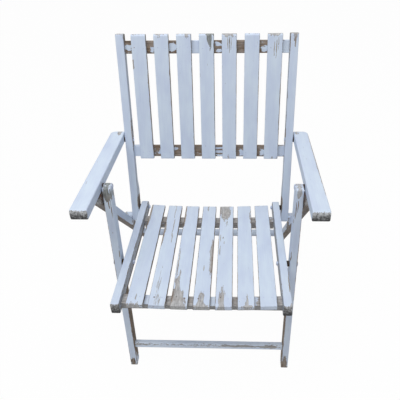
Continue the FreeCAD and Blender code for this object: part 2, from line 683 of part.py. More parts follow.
def bracket_faces():
    """Give the planes across the chair of the hinge bracket's inner and outer ears."""
    inner = f"({OUTER_LAYER} - bracket_play - bracket_plate)"
    outer = f"({OUTER_LAYER} + rear_leg_thickness + bracket_play + bracket_plate)"
    return inner, outer


def make_arm_brackets():
    """Hinge brackets: folded steel under the armrests, with an ear on each side of the rear leg."""
    inner, outer = bracket_faces()
    width = f"({outer} - {inner})"
    top = "(0 - arm_pivot_rise)"
    plate_bottom = f"({top} - bracket_plate)"
    pivot_z = f"(0 - {HINGE_FALL})"
    ear_bottom = f"({pivot_z} - bracket_ear / 2)"
    points = [
        ("0", top),
        (width, top),
        (width, ear_bottom),
        (f"{width} - bracket_plate", ear_bottom),
        (f"{width} - bracket_plate", plate_bottom),
        ("bracket_plate", plate_bottom),
        ("bracket_plate", ear_bottom),
        ("0", ear_bottom),
    ]
    body = new_body("arm_bracket_right", inner, ARM_FRAME)
    rear_face = "bracket_setback - bracket_length / 2"
    pad(body, outline(body, "XZ_Plane", points, rear_face), "bracket_length")
    shoulder = "((bracket_length - bracket_ear) / 2)"
    ear_height = f"({plate_bottom} - {ear_bottom})"
    for start in ("0 - bracket_setback - bracket_length / 2", "0 - bracket_setback + bracket_ear / 2"):
        block(body, "Subtractive", ("0", start, ear_bottom), (width, shoulder, ear_height))
    bottom = evaluate(ear_bottom)
    fillet(
        body,
        "bracket_ear / 2 - hinge_round_rest",
        lambda edge: runs_along(edge, ALONG_X)
        and edge.Length < 2 * evaluate("bracket_plate")
        and abs(edge.CenterOfMass.z - bottom) < NEAR,
    )
    bore(body, "0", "0 - bracket_setback", width, "hinge_pin_radius + running_play", pivot_z)
    keep(body, "arm_bracket_right")
    mirrored(body, "arm_bracket_left")


def make_hinge_pins():
    """Hinge pins: headed pins through the bracket's ears and the rear leg."""
    inner, outer = bracket_faces()
    body = new_body("rear_leg_pin_right", inner, (HINGE_Y, HINGE_Z, "0"))
    head = f"({outer} - {inner})"
    head_top = f"({head} + hinge_pin_head)"
    turned(body, [
        ("0", "0"),
        ("0", "hinge_pin_radius"),
        (head, "hinge_pin_radius"),
        (head, "hinge_pin_head_radius"),
        (f"{head} + hinge_pin_head / 2", "hinge_pin_head_radius"),
        (head_top, "hinge_pin_head_radius - hinge_pin_head / 2"),
        (head_top, "0"),
    ])
    keep(body, "rear_leg_pin_right")
    mirrored(body, "rear_leg_pin_left")


def make_stop_pegs():
    """Stop pegs: turned pegs on the stiles' feet, which rest in the rear legs' notches."""
    body = new_body("stop_peg_right", "frame_half_width", (PEG_Y, PEG_Z, "0"))
    end = "(layer_gap + rear_leg_thickness)"
    turned(body, [
        ("0 - peg_tenon", "0"),
        ("0 - peg_tenon", "peg_tenon_radius"),
        ("0", "peg_tenon_radius"),
        ("0", "peg_radius"),
        (f"{end} - edge_round", "peg_radius"),
        (end, "peg_radius - edge_round"),
        (end, "0"),
    ])
    keep(body, "stop_peg_right")
    mirrored(body, "stop_peg_left")


def domed_head(face, outwards):
    """Give the stations of a domed bolt head on a face, from the shank to the axis."""
    sign = "+" if outwards else "-"
    rim = [(face, "bolt_head_radius")]
    curve = [(f"{face} {sign} bolt_head * {up}", f"bolt_head_radius * {out}") for up, out in DOME]
    crown = [(f"{face} {sign} bolt_head", "0")]
    return rim + curve + crown


def ring(body, start, end, inner, outer):
    """A flat ring about the body's X axis."""
    turned(body, [(start, inner), (end, inner), (end, outer), (start, outer)])


def make_seat_hardware(name, depth, height, frame_inner):
    """Bolts with their heads outside, spacer washers and nuts at one pair of seat pivots."""
    spot = (depth, height, "0")
    nut_face = f"({RAIL_INNER} - side_play)"
    nut_end = f"({nut_face} - nut_height)"
    bolt = new_body(f"{name}_bolt", "0", spot)
    tail = f"({nut_end} - bolt_tail)"
    turned(bolt, [(tail, "0"), (tail, "bolt_radius"), ("frame_half_width", "bolt_radius")]
           + domed_head("frame_half_width", True))
    pair_of(bolt, f"{name}_bolts")
    washer = new_body(f"{name}_washer", "0", spot)
    ring(washer, f"{RAIL_OUTER} + side_play", frame_inner, "bolt_radius + running_play", "washer_radius")
    pair_of(washer, f"{name}_washers")
    nut = new_body(f"{name}_nut", "0", spot)
    ring(nut, nut_end, nut_face, "bolt_radius", "nut_radius")
    pair_of(nut, f"{name}_nuts")


def make_arm_hardware(name, depth, height, frame_inner):
    """Bolts with their heads inside and washers at one pair of arm pivots."""
    spot = (depth, height, "0")
    bolt = new_body(f"{name}_bolt", "0", spot)
    tip = f"({OUTER_LAYER} + bolt_in_arm)"
    turned(bolt, [(tip, "0"), (tip, "bolt_radius"), (frame_inner, "bolt_radius")]
           + domed_head(frame_inner, False))
    pair_of(bolt, f"{name}_bolts")
    washer = new_body(f"{name}_washer", "0", spot)
    ring(washer, "frame_half_width", f"{OUTER_LAYER} - side_play", "bolt_radius + running_play", "washer_radius")
    pair_of(washer, f"{name}_washers")


def write_pieces():
    """Check every object and write each piece to its own file."""
    doc.recompute()
    failed = [item.Label for item in doc.Objects if {"Invalid", "Error"} & set(item.State)]
    if failed:
        raise RuntimeError(f"failed objects: {failed}")
    for item in NODES:
        if item.Shape.isNull() or not item.Shape.isValid() or not item.Shape.Solids:
            raise RuntimeError(f"{item.Label}: no valid solid")
    os.makedirs("parts", exist_ok=True)
    for item in NODES:
        item.Shape.exportStep(f"parts/{item.Label}.step")
        print(item.Label, len(item.Shape.Solids), round(item.Shape.Volume))


make_front_legs()
make_rear_legs()
make_rear_stretcher()
make_seat_side_rails()
make_seat_cross_rails()
make_seat_slats()
make_stiles()
make_back_rails()
make_back_slats()
make_armrests()
make_arm_brackets()
make_hinge_pins()
make_stop_pegs()
make_seat_hardware("seat_pivot", SEAT_PIVOT_Y, "seat_pivot_height", LEG_INNER)
make_seat_hardware("back_pivot", BACK_PIVOT_Y, BACK_PIVOT_Z, STILE_INNER)
make_arm_hardware("arm_front", ARM_PIVOT_Y, "arm_pivot_height", LEG_INNER)
make_arm_hardware("arm_rear", ARM_REAR_Y, ARM_REAR_Z, STILE_INNER)
write_pieces()
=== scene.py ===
"""Dresses the folding garden armchair: flaking pale paint on beech, and zinc-plated fittings."""
import logging
import math
import random
from collections.abc import Sequence
from dataclasses import dataclass
from enum import Enum

import bmesh
import bpy
from bpy.types import Material, NodeSocket, NodeTree, World
from mathutils import Matrix, Vector


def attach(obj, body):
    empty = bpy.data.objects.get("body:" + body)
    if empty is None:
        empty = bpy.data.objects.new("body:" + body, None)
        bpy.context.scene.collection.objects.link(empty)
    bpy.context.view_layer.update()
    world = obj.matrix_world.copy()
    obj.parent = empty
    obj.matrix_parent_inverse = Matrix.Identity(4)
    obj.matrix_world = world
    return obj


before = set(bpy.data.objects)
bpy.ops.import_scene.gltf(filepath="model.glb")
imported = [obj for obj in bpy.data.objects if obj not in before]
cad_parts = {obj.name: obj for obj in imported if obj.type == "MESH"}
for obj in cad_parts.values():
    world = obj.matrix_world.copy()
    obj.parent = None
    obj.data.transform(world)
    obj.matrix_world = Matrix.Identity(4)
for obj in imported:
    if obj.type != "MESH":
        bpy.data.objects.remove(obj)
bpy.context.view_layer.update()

LOG = logging.getLogger("garden_armchair")
MM = 0.001
UP = Vector((0.0, 0.0, 1.0))
ACROSS_CHAIR = Vector((1.0, 0.0, 0.0))
WHITE = (1.0, 1.0, 1.0, 1.0)
NOISE_ROUGHNESS = 0.6
NOISE_AVERAGE = 0.5
FACE_REACH_MM = 1.8
# The colour sockets of a mix node.
MIX_A, MIX_B, MIX_RESULT = 6, 7, 2
Colour = tuple[float, float, float, float]
Triple = tuple[float, float, float]
Pair = tuple[float, float]


def linear(hex_colour: str) -> Colour:
    """Turns an sRGB hex colour into linear light.

    Args:
        hex_colour: The colour as #RRGGBB.

    Returns:
        Red, green, blue and alpha, linear.
    """
    parts = [int(hex_colour[i:i + 2], 16) / 255.0 for i in (1, 3, 5)]
    light = [p / 12.92 if p <= 0.04045 else ((p + 0.055) / 1.055) ** 2.4 for p in parts]
    return (light[0], light[1], light[2], 1.0)


def add_node(tree: NodeTree, kind: str, inputs: dict | Sequence = (), give: int | str = 0,
             **settings: object) -> NodeSocket | None:
    """Adds a node, sets it up and links it.

    Args:
        tree: The node tree that gets the node.
        kind: The node's Blender type, after the word ShaderNode.
        inputs: What goes into its sockets, by name or in order: an output to link, or a constant.
        give: Which of its outputs to give back, by name or number.
        settings: The node's own properties.

    Returns:
        The output, or nothing where the node has none.
    """
    node = tree.nodes.new(f"ShaderNode{kind}")
    for name, value in settings.items():
        setattr(node, name, value)
    for socket, value in inputs.items() if isinstance(inputs, dict) else enumerate(inputs):
        if isinstance(value, NodeSocket):
            tree.links.new(value, node.inputs[socket])
        else:
            node.inputs[socket].default_value = value
    return node.outputs[give] if node.outputs else None


def blank_nodes(owner: Material | World) -> NodeTree:
    """Empties the nodes of a material or a world, and gives them."""
    owner.use_nodes = True
    owner.node_tree.nodes.clear()
    return owner.node_tree


def add_up(tree: NodeTree, values: list[NodeSocket]) -> NodeSocket:
    """Adds up several values.

    Args:
        tree: The nodes that they are in.
        values: The values.

    Returns:
        Their sum.
    """
    total = values[0]
    for value in values[1:]:
        total = add_node(tree, "Math", (total, value), operation="ADD")
    return total


def lay_over(tree: NodeTree, colour: NodeSocket | Colour,
             layers: list[tuple[NodeSocket, NodeSocket | Colour]]) -> NodeSocket:
    """Lays colours over one another.

    Args:
        tree: The nodes that they are in.
        colour: The colour underneath.
        layers: The share and the colour of each layer, from below.

    Returns:
        The colour that shows.
    """
    for share, over in layers:
        colour = add_node(tree, "Mix", {0: share, MIX_A: colour, MIX_B: over}, MIX_RESULT,
                          data_type="RGBA")
    return colour


def leaning(degrees: float) -> tuple[Vector, Vector]:
    """Gives the rise and the front of an upright that leans back.

    Args:
        degrees: How far it leans, from upright.

    Returns:
        The direction up it, and the direction out of its front.
    """
    angle = math.radians(degrees)
    rise = Vector((0.0, math.sin(angle), math.cos(angle)))
    front = Vector((0.0, -math.cos(angle), math.sin(angle)))
    return rise, front


def tilted(degrees: float) -> tuple[Vector, Vector]:
    """Gives the run to the rear and the upward normal of a board that falls towards the rear."""
    rise, front = leaning(degrees)
    return -front, rise


class Loss(Enum):
    """How the paint has gone from a place."""

    FLAKE = "flake"
    CRACK = "crack"


class Face(Enum):
    """A long face of a piece, seen along its grain: axis number and side."""

    LEFT = (1, -1)
    RIGHT = (1, 1)
    UNDER = (2, -1)


class Datum(Enum):
    """Where the places along a piece are measured from."""

    START = 0.0
    MIDDLE = 0.5
    FINISH = 1.0


@dataclass(frozen=True)
class Patch:
    """A place that has lost its paint, or kept it where the strength is negative; all in mm."""

    along: float
    across: float
    reach_along: float
    reach_across: float
    strength: float
    loss: Loss = Loss.FLAKE
    out: float = 0.0
    reach_out: float | None = None

    def distance(self, along: float, across: float) -> float:
        """Gives how far a place is from its middle, as a share of its reach."""
        return math.hypot((along - self.along) / self.reach_along,
                          (across - self.across) / self.reach_across)


Patches = tuple[Patch, ...]
Faces = tuple[tuple[Face, float], ...]


@dataclass(frozen=True)
class Weathering:
    """How far a piece has weathered: 0 keeps its paint, 1 is bare.

    Attributes:
        base, start, finish, arris: The loss all over it, and more at its two ends and its edges.
        end_reach: How far in from its ends they are worn, in mm.
        crack: How readily its paint cracks along the grain.
        grey, grey_ends: How silver its bare wood is, from 0 for brown, and more at its two ends.
        grey_reach: How far in from its ends they are grey, in mm.
        flake_length, flake_width: The usual size of a flake, in mm.
        grey_mm, grime_and_shade_mm: How far in from a face its greying, and its grime and painted shade,
            reach.
        soak, soak_and_shade_lift: How far damp has darkened its start end, and how much less at the top;
            the darker bottom is partly painted shade.
        datum: Where its patches are measured from.
        faces, grey_faces, grime_and_shade_faces: Its more worn and greyer faces, and those darkened by
            grime and painted shade.
        patches: Its worn places.
    """

    base: float = 0.0
    start: float = 0.35
    finish: float = 0.35
    end_reach: float = 9.0
    arris: float = 0.22
    crack: float = -0.25
    grey: float = 0.5
    grey_ends: Pair = (0.6, 0.6)
    grey_reach: float = 16.0
    flake_length: float = 34.0
    flake_width: float = 6.0
    grey_mm: float = FACE_REACH_MM
    grime_and_shade_mm: float = FACE_REACH_MM
    soak: float = 0.0
    soak_and_shade_lift: float = 0.13
    datum: Datum = Datum.START
    faces: Faces = ()
    grey_faces: Faces = ()
    grime_and_shade_faces: Faces = ()
    patches: Patches = ()


@dataclass(frozen=True)
class Grain:
    """Where a piece lies and which way its grain runs: metres, and millimetres for its sizes."""

    origin: Vector
    along: Vector
    across: Vector
    out: Vector
    length: float
    width: float
    depth: float

    @classmethod
    def of_node(cls, node: str, along: Vector, out: Vector) -> "Grain":
        """Measures a piece of the frame along its own grain.

        Args:
            node: The piece's name.
            along: The direction of its grain.
            out: The direction out of its main face.

        Returns:
            The piece's grain, with its origin in the middle of its start end.
        """
        across = along.cross(out)
        points = [v.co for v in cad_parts[node].data.vertices]
        spans = []
        for axis in (along, across, out):
            places = [p.dot(axis) for p in points]
            spans.append((min(places), max(places)))
        middle = [(lo + hi) / 2.0 for lo, hi in spans]
        origin = along * spans[0][0] + across * middle[1] + out * middle[2]
        sizes = [(hi - lo) / MM for lo, hi in spans]
        return cls(origin, along, across, out, *sizes)


@dataclass(frozen=True)
class Pattern:
    """A noise drawn out along the grain: its sizes, its finer layers, and its shift from the others."""

    along_mm: float
    across_mm: float
    detail: float
    shift: float = 0.0
    # How far a seed of 1 moves it along, across and out.
    steps: Triple = (7.31, 3.77, 5.13)


@dataclass(frozen=True)
class Surface:
    """The surface of a piece whose finish is being built.

    The place on it is in mm along, across and out of its grain, from the middle of its start end.
    """

    tree: NodeTree
    grain: Grain
    weather: Weathering
    seed: float
    place: NodeSocket
    parts: tuple[NodeSocket, ...]

    @classmethod
    def of_piece(cls, tree: NodeTree, grain: Grain, weather: Weathering, seed: float) -> "Surface":
        """Sets up the place on a piece.

        Args:
            tree: The nodes of its material.
            grain: Where the piece lies.
            weather: How far it has weathered.
            seed: Moves its patterns, so that no two pieces match.

        Returns:
            The piece's surface.
        """
        coord = add_node(tree, "TexCoord", give="Object")
        offset = add_node(tree, "VectorMath", (coord, grain.origin), operation="SUBTRACT")
        parts = tuple(add_node(tree, "VectorMath", (offset, axis / MM), "Value", operation="DOT_PRODUCT")
                      for axis in (grain.along, grain.across, grain.out))
        place = add_node(tree, "CombineXYZ", parts)
        return cls(tree, grain, weather, seed, place, parts)

    def noise(self, pattern: Pattern, give: int | str = 0) -> NodeSocket:
        """Draws a pattern.

        Args:
            pattern: The pattern.
            give: Which output of the noise to give.

        Returns:
            The noise.
        """
        seed = self.seed + pattern.shift
        fine = 1.0 / pattern.across_mm
        scale = Vector((1.0 / pattern.along_mm, fine, fine))
        shift = Vector([seed * step for step in pattern.steps])
        scaled = add_node(self.tree, "VectorMath", (self.place, scale, shift), operation="MULTIPLY_ADD")
        return add_node(self.tree, "TexNoise",
                        {"Vector": scaled, "Scale": 1.0, "Detail": pattern.detail,
                         "Roughness": NOISE_ROUGHNESS}, give)

    def rise(self, value: NodeSocket, first: float, last: float, strength: float) -> NodeSocket:
        """Gives 0 up to a first place along a value, rising to a full strength at a last one."""
        return add_node(self.tree, "MapRange", {"Value": value, "From Min": first, "From Max": last,
                                                "To Min": 0.0, "To Max": strength})

    def near_face(self, face: Face, strength: float, reach_mm: float = FACE_REACH_MM) -> NodeSocket:
        """Gives 0 inside the piece, and a full strength on one long face.

        Args:
            face: The long face.
            strength: The full strength.
            reach_mm: How far in from the face it reaches.

        Returns:
            The strength at each place.
        """
        axis, side = face.value
        half = (self.grain.width if axis == 1 else self.grain.depth) / 2.0
        return self.rise(self.parts[axis], side * (half - reach_mm), side * half, strength)


@dataclass(frozen=True)
class PaintedBeech:
    """Beech strips, planed, with brushed oil paint that the weather has cracked and flaked.

    The paint is pale with a cold blue cast and a soft satin gloss, with faint brush lines along
    the grain. Where it has gone the wood is dull: warm brown where it is newly bare, silver grey
    where rain has stood on it. A thin dirty line follows each broken edge of the film. Some long
    faces are darkened by grime and painted shade.
    """

    paint_high: str = "#D1DEED"
    paint_low: str = "#C3CFE5"
    # The dark laid over chosen long faces: grime, and painted shade.
    grime_and_shade: str = "#2F2B27"
    rim: str = "#6E5C4C"
    brown: tuple[str, str, str] = ("#4A3D33", "#7E6B5A", "#A08D78")
    silver: tuple[str, str, str] = ("#888889", "#B2B2B3", "#CECECE")
    damp: tuple[str, str, str] = ("#1B1B1C", "#67686A", "#C0C4C8")
    tone_stops: Triple = (0.33, 0.5, 0.68)
    # How far brush lines show in the paint's tone, and the tones between which it goes from low to high.
    brush_tone: float = 0.5
    paint_tones: Pair = (0.5, 1.0)
    # Damp end grain is darker low down, from damp and from painted shade on its lower part: heights as
    # shares of the depth.
    damp_and_shade_heights: Pair = (-0.5, 0.3)
    damp_and_shade_drop: float = -0.22
    wet_and_shade_heights: Pair = (-0.45, 0.4)
    wet_and_shade_shares: Pair = (1.0, 0.65)
    # Where damp fades out and where it is full, in end reaches, and where grey is full, in grey reaches.
    soak_reaches: Pair = (2.2, 0.3)
    full_grey: float = 0.25
    paint_roughness: float = 0.46
    wood_roughness: float = 0.88
    brush_roughness: float = 0.16
    ior: float = 1.48
    film_mm: float = 0.45
    brush_relief_mm: float = 0.12
    grain_relief_mm: float = 0.5
    bump_strength: float = 0.8
    # Brush lines, grain and hair cracks are really 0.3 to 0.5 mm wide, too fine to show in the
    # render, so they are drawn about 1.5 mm wide.
    brush: Pattern = Pattern(90.0, 1.6, 2.0, 3.1)
    lines: Pattern = Pattern(48.0, 1.5, 3.0, 5.7)
    cracks: Pattern = Pattern(45.0, 1.5, 2.0, 2.2)
    crumbs: Pattern = Pattern(6.0, 2.4, 2.0, 1.3)
    drift: Pattern = Pattern(85.0, 30.0, 2.0, 8.4)
    clouds: Pattern = Pattern(30.0, 14.0, 2.0, 9.9)
    mottle: Pattern = Pattern(11.0, 4.5, 2.0, 11.3)
    bends: Pattern = Pattern(24.0, 9.0, 3.0, steps=(4.19, 6.53, 2.87))
    wander_mm: Pair = (26.0, 5.0)
    break_loss: float = 0.5
    flake_detail: float = 3.5
    flake_gain: float = 1.7
    crumb_gain: float = 0.8
    crack_gain: float = 2.4
    # From the middle of a worn place to its edge, as shares of its reach.
    patch_fade: Pair = (0.35, 1.15)
    arris_mm: float = 3.0
    # How far past the broken edge of the paint the wood is clean, and how far short of it dirt starts.
    bare_from: float = 0.07
    rim_from: float = -0.08
    rim_share: float = 0.75

    def make(self, name: str, grain: Grain, weather: Weathering, seed: float) -> Material:
        """Builds the finish of one piece.

        Args:
            name: The piece's name.
            grain: Where the piece lies.
            weather: How far it has weathered.
            seed: Moves the patterns, so that no two pieces match.

        Returns:
            The piece's material.
        """
        material = bpy.data.materials.new(f"brushed_oil_paint_on_beech.{name}")
        tree = blank_nodes(material)
        on = Surface.of_piece(tree, grain, weather, seed)
        depth = self.paint_loss(on)
        bare = add_node(tree, "MapRange",
                        {"Value": depth, "From Min": 0.0, "From Max": self.bare_from},
                        interpolation_type="SMOOTHSTEP")
        rim = add_node(tree, "MapRange",
                       {"Value": depth, "From Min": self.rim_from, "From Max": 0.0,
                        "To Max": self.rim_share}, interpolation_type="SMOOTHSTEP")
        brush = on.noise(self.brush)
        lines = on.noise(self.lines)
        layers = [(rim, linear(self.rim)), (bare, self.wood_colour(on, lines))]
        # Chosen long faces are darkened: grime, and painted shade where they face down or lie between
        # parts.
        layers += [(on.near_face(face, amount, weather.grime_and_shade_mm), linear(self.grime_and_shade))
                   for face, amount in weather.grime_and_shade_faces]
        colour = lay_over(tree, self.paint_colour(on, brush), layers)
        gloss = add_node(tree, "MapRange",
                         {"Value": bare, "To Min": self.paint_roughness, "To Max": self.wood_roughness})
        rough = add_node(tree, "Math", (brush, self.brush_roughness, gloss), operation="MULTIPLY_ADD")
        film = add_node(tree, "MapRange", {"Value": bare, "To Min": self.film_mm, "To Max": 0.0})
        ribs = add_node(tree, "Math", (lines, bare), operation="MULTIPLY")
        height = film
        for relief, depth_mm in ((brush, self.brush_relief_mm), (ribs, self.grain_relief_mm)):
            height = add_node(tree, "Math", (relief, depth_mm, height), operation="MULTIPLY_ADD")
        bump = add_node(tree, "Bump",
                        {"Height": height, "Strength": self.bump_strength, "Distance": MM})
        shader = add_node(tree, "BsdfPrincipled",
                          {"Base Color": colour, "Roughness": rough, "Normal": bump, "IOR": self.ior})
        add_node(tree, "OutputMaterial", {"Surface": shader})
        return material

    def paint_loss(self, on: Surface) -> NodeSocket:
        """Works out where the paint has gone.

        Args:
            on: The piece's surface.

        Returns:
            How far a place is past the broken edge of the paint: below 0 it is painted.
        """
        tree, weather = on.tree, on.weather
        worn = {Loss.FLAKE: self.end_and_edge_wear(on), Loss.CRACK: []}
        wandered = self.wander(on)
        core, edge = self.patch_fade
        for patch in weather.patches:
            along = patch.along + weather.datum.value * on.grain.length
            middle = Vector((along, patch.across, patch.out))
            scale = Vector((1.0 / patch.reach_along, 1.0 / patch.reach_across,
                            1.0 / patch.reach_out if patch.reach_out else 0.0))
            offset = add_node(tree, "VectorMath", (wandered, scale, -middle * scale),
                              operation="MULTIPLY_ADD")
            distance = add_node(tree, "VectorMath", (offset,), "Value", operation="LENGTH")
            weight = add_node(tree, "MapRange",
                              {"Value": distance, "From Min": core, "From Max": edge,
                               "To Min": patch.strength, "To Max": 0.0}, interpolation_type="SMOOTHSTEP")
            worn[patch.loss].append(weight)
        flakes = Pattern(weather.flake_length, weather.flake_width, self.flake_detail)
        patterns = {Loss.FLAKE: ((flakes, self.flake_gain), (self.crumbs, self.crumb_gain)),
                    Loss.CRACK: ((self.cracks, self.crack_gain),)}
        depths = []
        for loss, level in ((Loss.FLAKE, weather.base), (Loss.CRACK, weather.crack)):
            # With every noise at its average, the paint breaks at this loss.
            depth = level - self.break_loss - NOISE_AVERAGE * sum(gain for _, gain in patterns[loss])
            for pattern, gain in patterns[loss]:
                depth = add_node(tree, "Math", (on.noise(pattern), gain, depth), operation="MULTIPLY_ADD")
            depths.append(add_up(tree, [depth, *worn[loss]]))
        return add_node(tree, "Math", depths, operation="MAXIMUM")

    def wander(self, on: Surface) -> NodeSocket:
        """Lets a place wander along and across the grain, so that no worn place is a plain oval.

        Args:
            on: The piece's surface.

        Returns:
            The place, moved a little.
        """
        reach = Vector((self.wander_mm[0], self.wander_mm[1], self.wander_mm[1]))
        noise = on.noise(self.bends, "Color")
        back = add_node(on.tree, "VectorMath", (on.place, reach * NOISE_AVERAGE), operation="SUBTRACT")
        return add_node(on.tree, "VectorMath", (noise, reach, back), operation="MULTIPLY_ADD")

    def end_and_edge_wear(self, on: Surface) -> list[NodeSocket]:
        """Adds the wear at a piece's two ends, along its arrises and on its worn faces.

        Args:
            on: The piece's surface.

        Returns:
            The wear of each, to be added up.
        """
        grain, weather = on.grain, on.weather
        along, across, out = on.parts
        insets = []
        for value, size in ((across, grain.width), (out, grain.depth)):
            away = add_node(on.tree, "Math", (value,), operation="ABSOLUTE")
            insets.append(add_node(on.tree, "Math", (size / 2.0, away), operation="SUBTRACT"))
        from_arris = add_node(on.tree, "Math", insets, operation="MAXIMUM")
        wear = [on.rise(along, weather.end_reach, 0.0, weather.start),
                on.rise(along, grain.length - weather.end_reach, grain.length, weather.finish),
                on.rise(from_arris, self.arris_mm, 0.0, weather.arris)]
        return wear + [on.near_face(face, strength) for face, strength in weather.faces]

    def paint_colour(self, on: Surface, brush: NodeSocket) -> NodeSocket:
        """Colours the paint, with slow drifts and brush lines along the grain.

        Args:
            on: The piece's surface.
            brush: The brush lines.

        Returns:
            The paint's colour.
        """
        mixed = add_node(on.tree, "Math", (brush, self.brush_tone, on.noise(self.drift)),
                         operation="MULTIPLY_ADD")
        low, high = self.paint_tones
        tone = add_node(on.tree, "MapRange", {"Value": mixed, "From Min": low, "From Max": high})
        return lay_over(on.tree, linear(self.paint_low), [(tone, linear(self.paint_high))])

    def wood_colour(self, on: Surface, lines: NodeSocket) -> NodeSocket:
        """Colours the bare wood: warm brown, silver grey, or dark where damp has soaked in, with painted
        shade low on the end.

        Args:
            on: The piece's surface.
            lines: The lines of the grain.

        Returns:
            The bare wood's colour.
        """
        tree, grain, weather = on.tree, on.grain, on.weather
        along, _, out = on.parts
        mottle = on.noise(self.mottle)
        # The end's lower part is darker: damp, and painted shade.
        low, high = (share * grain.depth for share in self.damp_and_shade_heights)
        damp_and_shade_lift = add_node(tree, "MapRange", {"Value": out, "From Min": low, "From Max": high,
                                           "To Min": self.damp_and_shade_drop, "To Max": weather.soak_and_shade_lift})
        ribs = add_node(tree, "Math", (add_up(tree, [lines, mottle]), 0.5), operation="MULTIPLY")
        flecks = add_up(tree, [mottle, damp_and_shade_lift])
        tones = []
        for colours, value in ((self.brown, lines), (self.silver, ribs), (self.damp, flecks)):
            tone = add_node(tree, "ValToRGB", (value,))
            stops = tone.node.color_ramp.elements
            stops.new(self.tone_stops[1])
            for stop, at, colour in zip(stops, self.tone_stops, colours):
                stop.position = at
                stop.color = linear(colour)
            tones.append(tone)
        brown, silver, damp = tones
        length, reach = grain.length, weather.grey_reach
        full = self.full_grey * reach
        greying = [add_node(tree, "Math", (on.noise(self.clouds), weather.grey - NOISE_AVERAGE),
                            operation="ADD"),
                   on.rise(along, reach, full, weather.grey_ends[0]),
                   on.rise(along, length - reach, length - full, weather.grey_ends[1])]
        greying += [on.near_face(face, amount, weather.grey_mm) for face, amount in weather.grey_faces]
        fade, full = (share * weather.end_reach for share in self.soak_reaches)
        soaked = on.rise(along, fade, full, weather.soak)
        # Damp covers more of the end low down: damp, and painted shade.
        low, high = (share * grain.depth for share in self.wet_and_shade_heights)
        lower = add_node(tree, "MapRange", {"Value": out, "From Min": low, "From Max": high,
                                            "To Min": self.wet_and_shade_shares[0], "To Max": self.wet_and_shade_shares[1]})
        wet_and_shade = add_node(tree, "Math", (soaked, lower), operation="MULTIPLY")
        return lay_over(tree, brown, [(add_up(tree, greying), silver), (wet_and_shade, damp)])


@dataclass(frozen=True)
class RustingSteel:
    """Mild steel under a thin coat, with rust coming through it in blotches."""

    label: str
    # The coat's colours, from the dullest.
    coat: tuple[str, ...]
    rust: str
    # The levels of the blotches between which the coat gives way to rust.
    rust_edge: Pair
    # Each from the coat to the rust.
    roughness: Pair
    metallic: Pair | None
    blotch_mm: float
    pit_mm: float
    pit_detail: float
    pit_strength: float
    pit_depth_mm: float = 0.3
    blotch_detail: float = 4.0
    paint_ior: float = 1.48

    def make(self, name: str) -> Material:
        """Builds the finish.

        Args:
            name: The name of the fitting or the row of nails.

        Returns:
            Its material.
        """
        material = bpy.data.materials.new(f"{self.label}.{name}")
        tree = blank_nodes(material)
        coord = add_node(tree, "TexCoord", give="Object")
        sizes = ((self.blotch_mm, self.blotch_detail), (self.pit_mm, self.pit_detail))
        blotches, pits = (add_node(tree, "TexNoise", {"Vector": coord, "Scale": 1.0 / (size_mm * MM),
                                                      "Detail": detail}) for size_mm, detail in sizes)
        low, high = self.rust_edge
        rusted = add_node(tree, "MapRange", {"Value": blotches, "From Min": low, "From Max": high})
        layers = [(pits, linear(shade)) for shade in self.coat[1:]] + [(rusted, linear(self.rust))]
        low, high = self.roughness
        rough = add_node(tree, "MapRange", {"Value": rusted, "To Min": low, "To Max": high})
        bump = add_node(tree, "Bump", {"Height": pits, "Strength": self.pit_strength,
                                       "Distance": self.pit_depth_mm * MM})
        inputs = {"Base Color": lay_over(tree, linear(self.coat[0]), layers), "Roughness": rough,
                  "Normal": bump}
        if self.metallic:
            low, high = self.metallic
            inputs["Metallic"] = add_node(tree, "MapRange",
                                          {"Value": rusted, "To Min": low, "To Max": high})
        else:
            inputs["IOR"] = self.paint_ior
        shader = add_node(tree, "BsdfPrincipled", inputs)
        add_node(tree, "OutputMaterial", {"Surface": shader})
        return material


@dataclass(frozen=True)
class WeatheredZinc(RustingSteel):
    """Zinc-plated mild steel, left outdoors.

    The plating has gone dull and grey, and brown rust has come through it in blotches, so it
    shines softly on the clean parts and not at all on the rust.
    """

    label: str = "weathered_zinc_plate"
    coat: tuple[str, ...] = ("#5E5A56", "#8F8E8C")
    rust: str = "#5E3D2A"
    rust_edge: Pair = (0.46, 0.56)
    roughness: Pair = (0.42, 0.9)
    metallic: Pair | None = (1.0, 0.15)
    blotch_mm: float = 5.0
    pit_mm: float = 1.0
    pit_detail: float = 3.0
    pit_strength: float = 0.5


@dataclass(frozen=True)
class PaintedSteel(RustingSteel):
    """Steel nail heads and pivot fittings under the same brushed paint.

    They are as pale and satin as the wood round them, with dull brown rust bleeding through the
    film on a few of them.
    """

    label: str = "brushed_oil_paint_on_steel"
    coat: tuple[str, ...] = ("#C4CFE6",)
    rust: str = "#7C6350"
    rust_edge: Pair = (0.6, 0.66)
    roughness: Pair = (0.5, 0.9)
    metallic: Pair | None = None
    blotch_mm: float = 9.0
    pit_mm: float = 9.0
    pit_detail: float = 4.0
    pit_strength: float = 0.4


